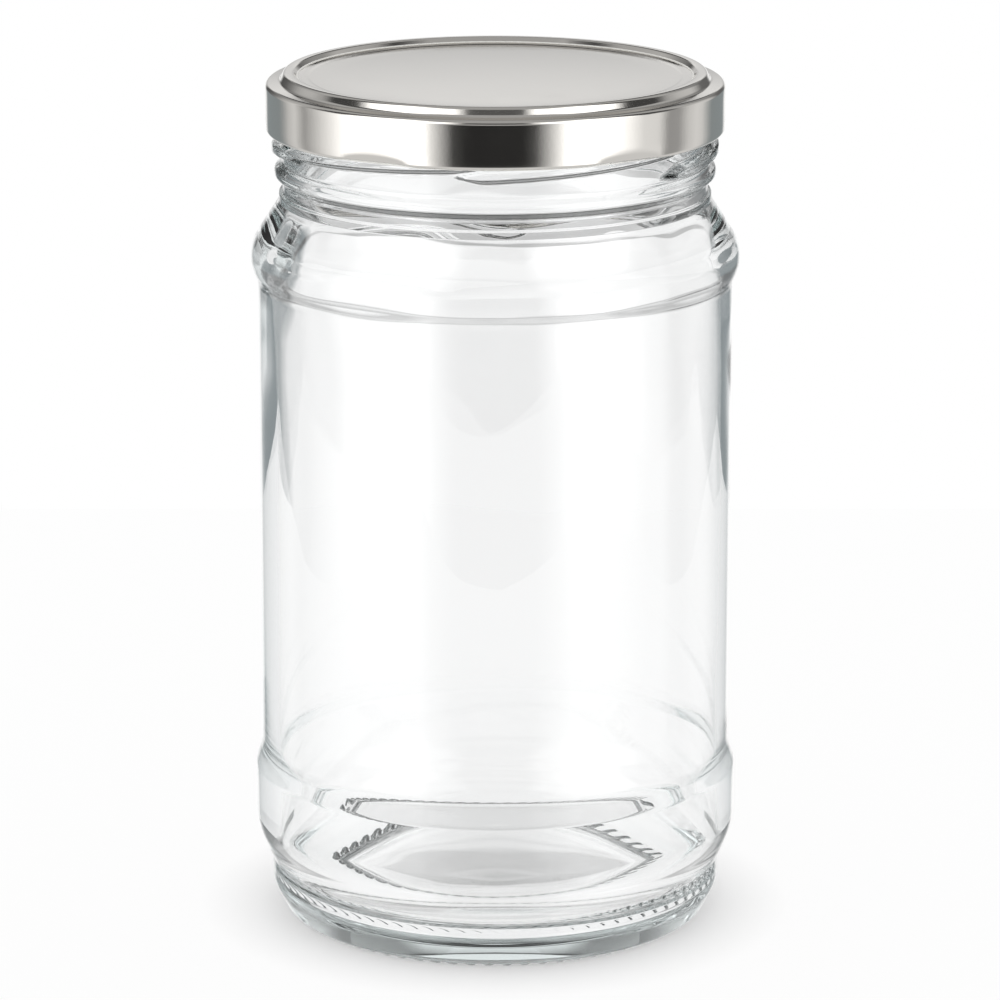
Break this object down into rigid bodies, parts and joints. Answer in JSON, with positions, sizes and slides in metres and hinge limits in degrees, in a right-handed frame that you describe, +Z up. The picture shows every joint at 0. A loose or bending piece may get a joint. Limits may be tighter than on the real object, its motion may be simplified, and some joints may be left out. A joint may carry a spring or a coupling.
{
  "type": "glass food jar with lid",
  "caption": "Round clear glass food jar, empty, shut with a silver pressed tinplate twist-off lid.",
  "frame": {"origin": "centre of the ring on which the jar stands, at table height", "axes": "+Z up along the jar's axis, -Y towards the front"},
  "size_m": [0.092, 0.092, 0.163],
  "materials": {
    "glass": "clear, slightly grey-green in thick places",
    "tinplate": "bright silver lacquered tinplate",
    "compound": "matt sealing compound"
  },
  "bodies": {
    "root": {"jar": "glass", "lid": "tinplate", "sealing_ring": "compound"}
  },
  "joints": []
}
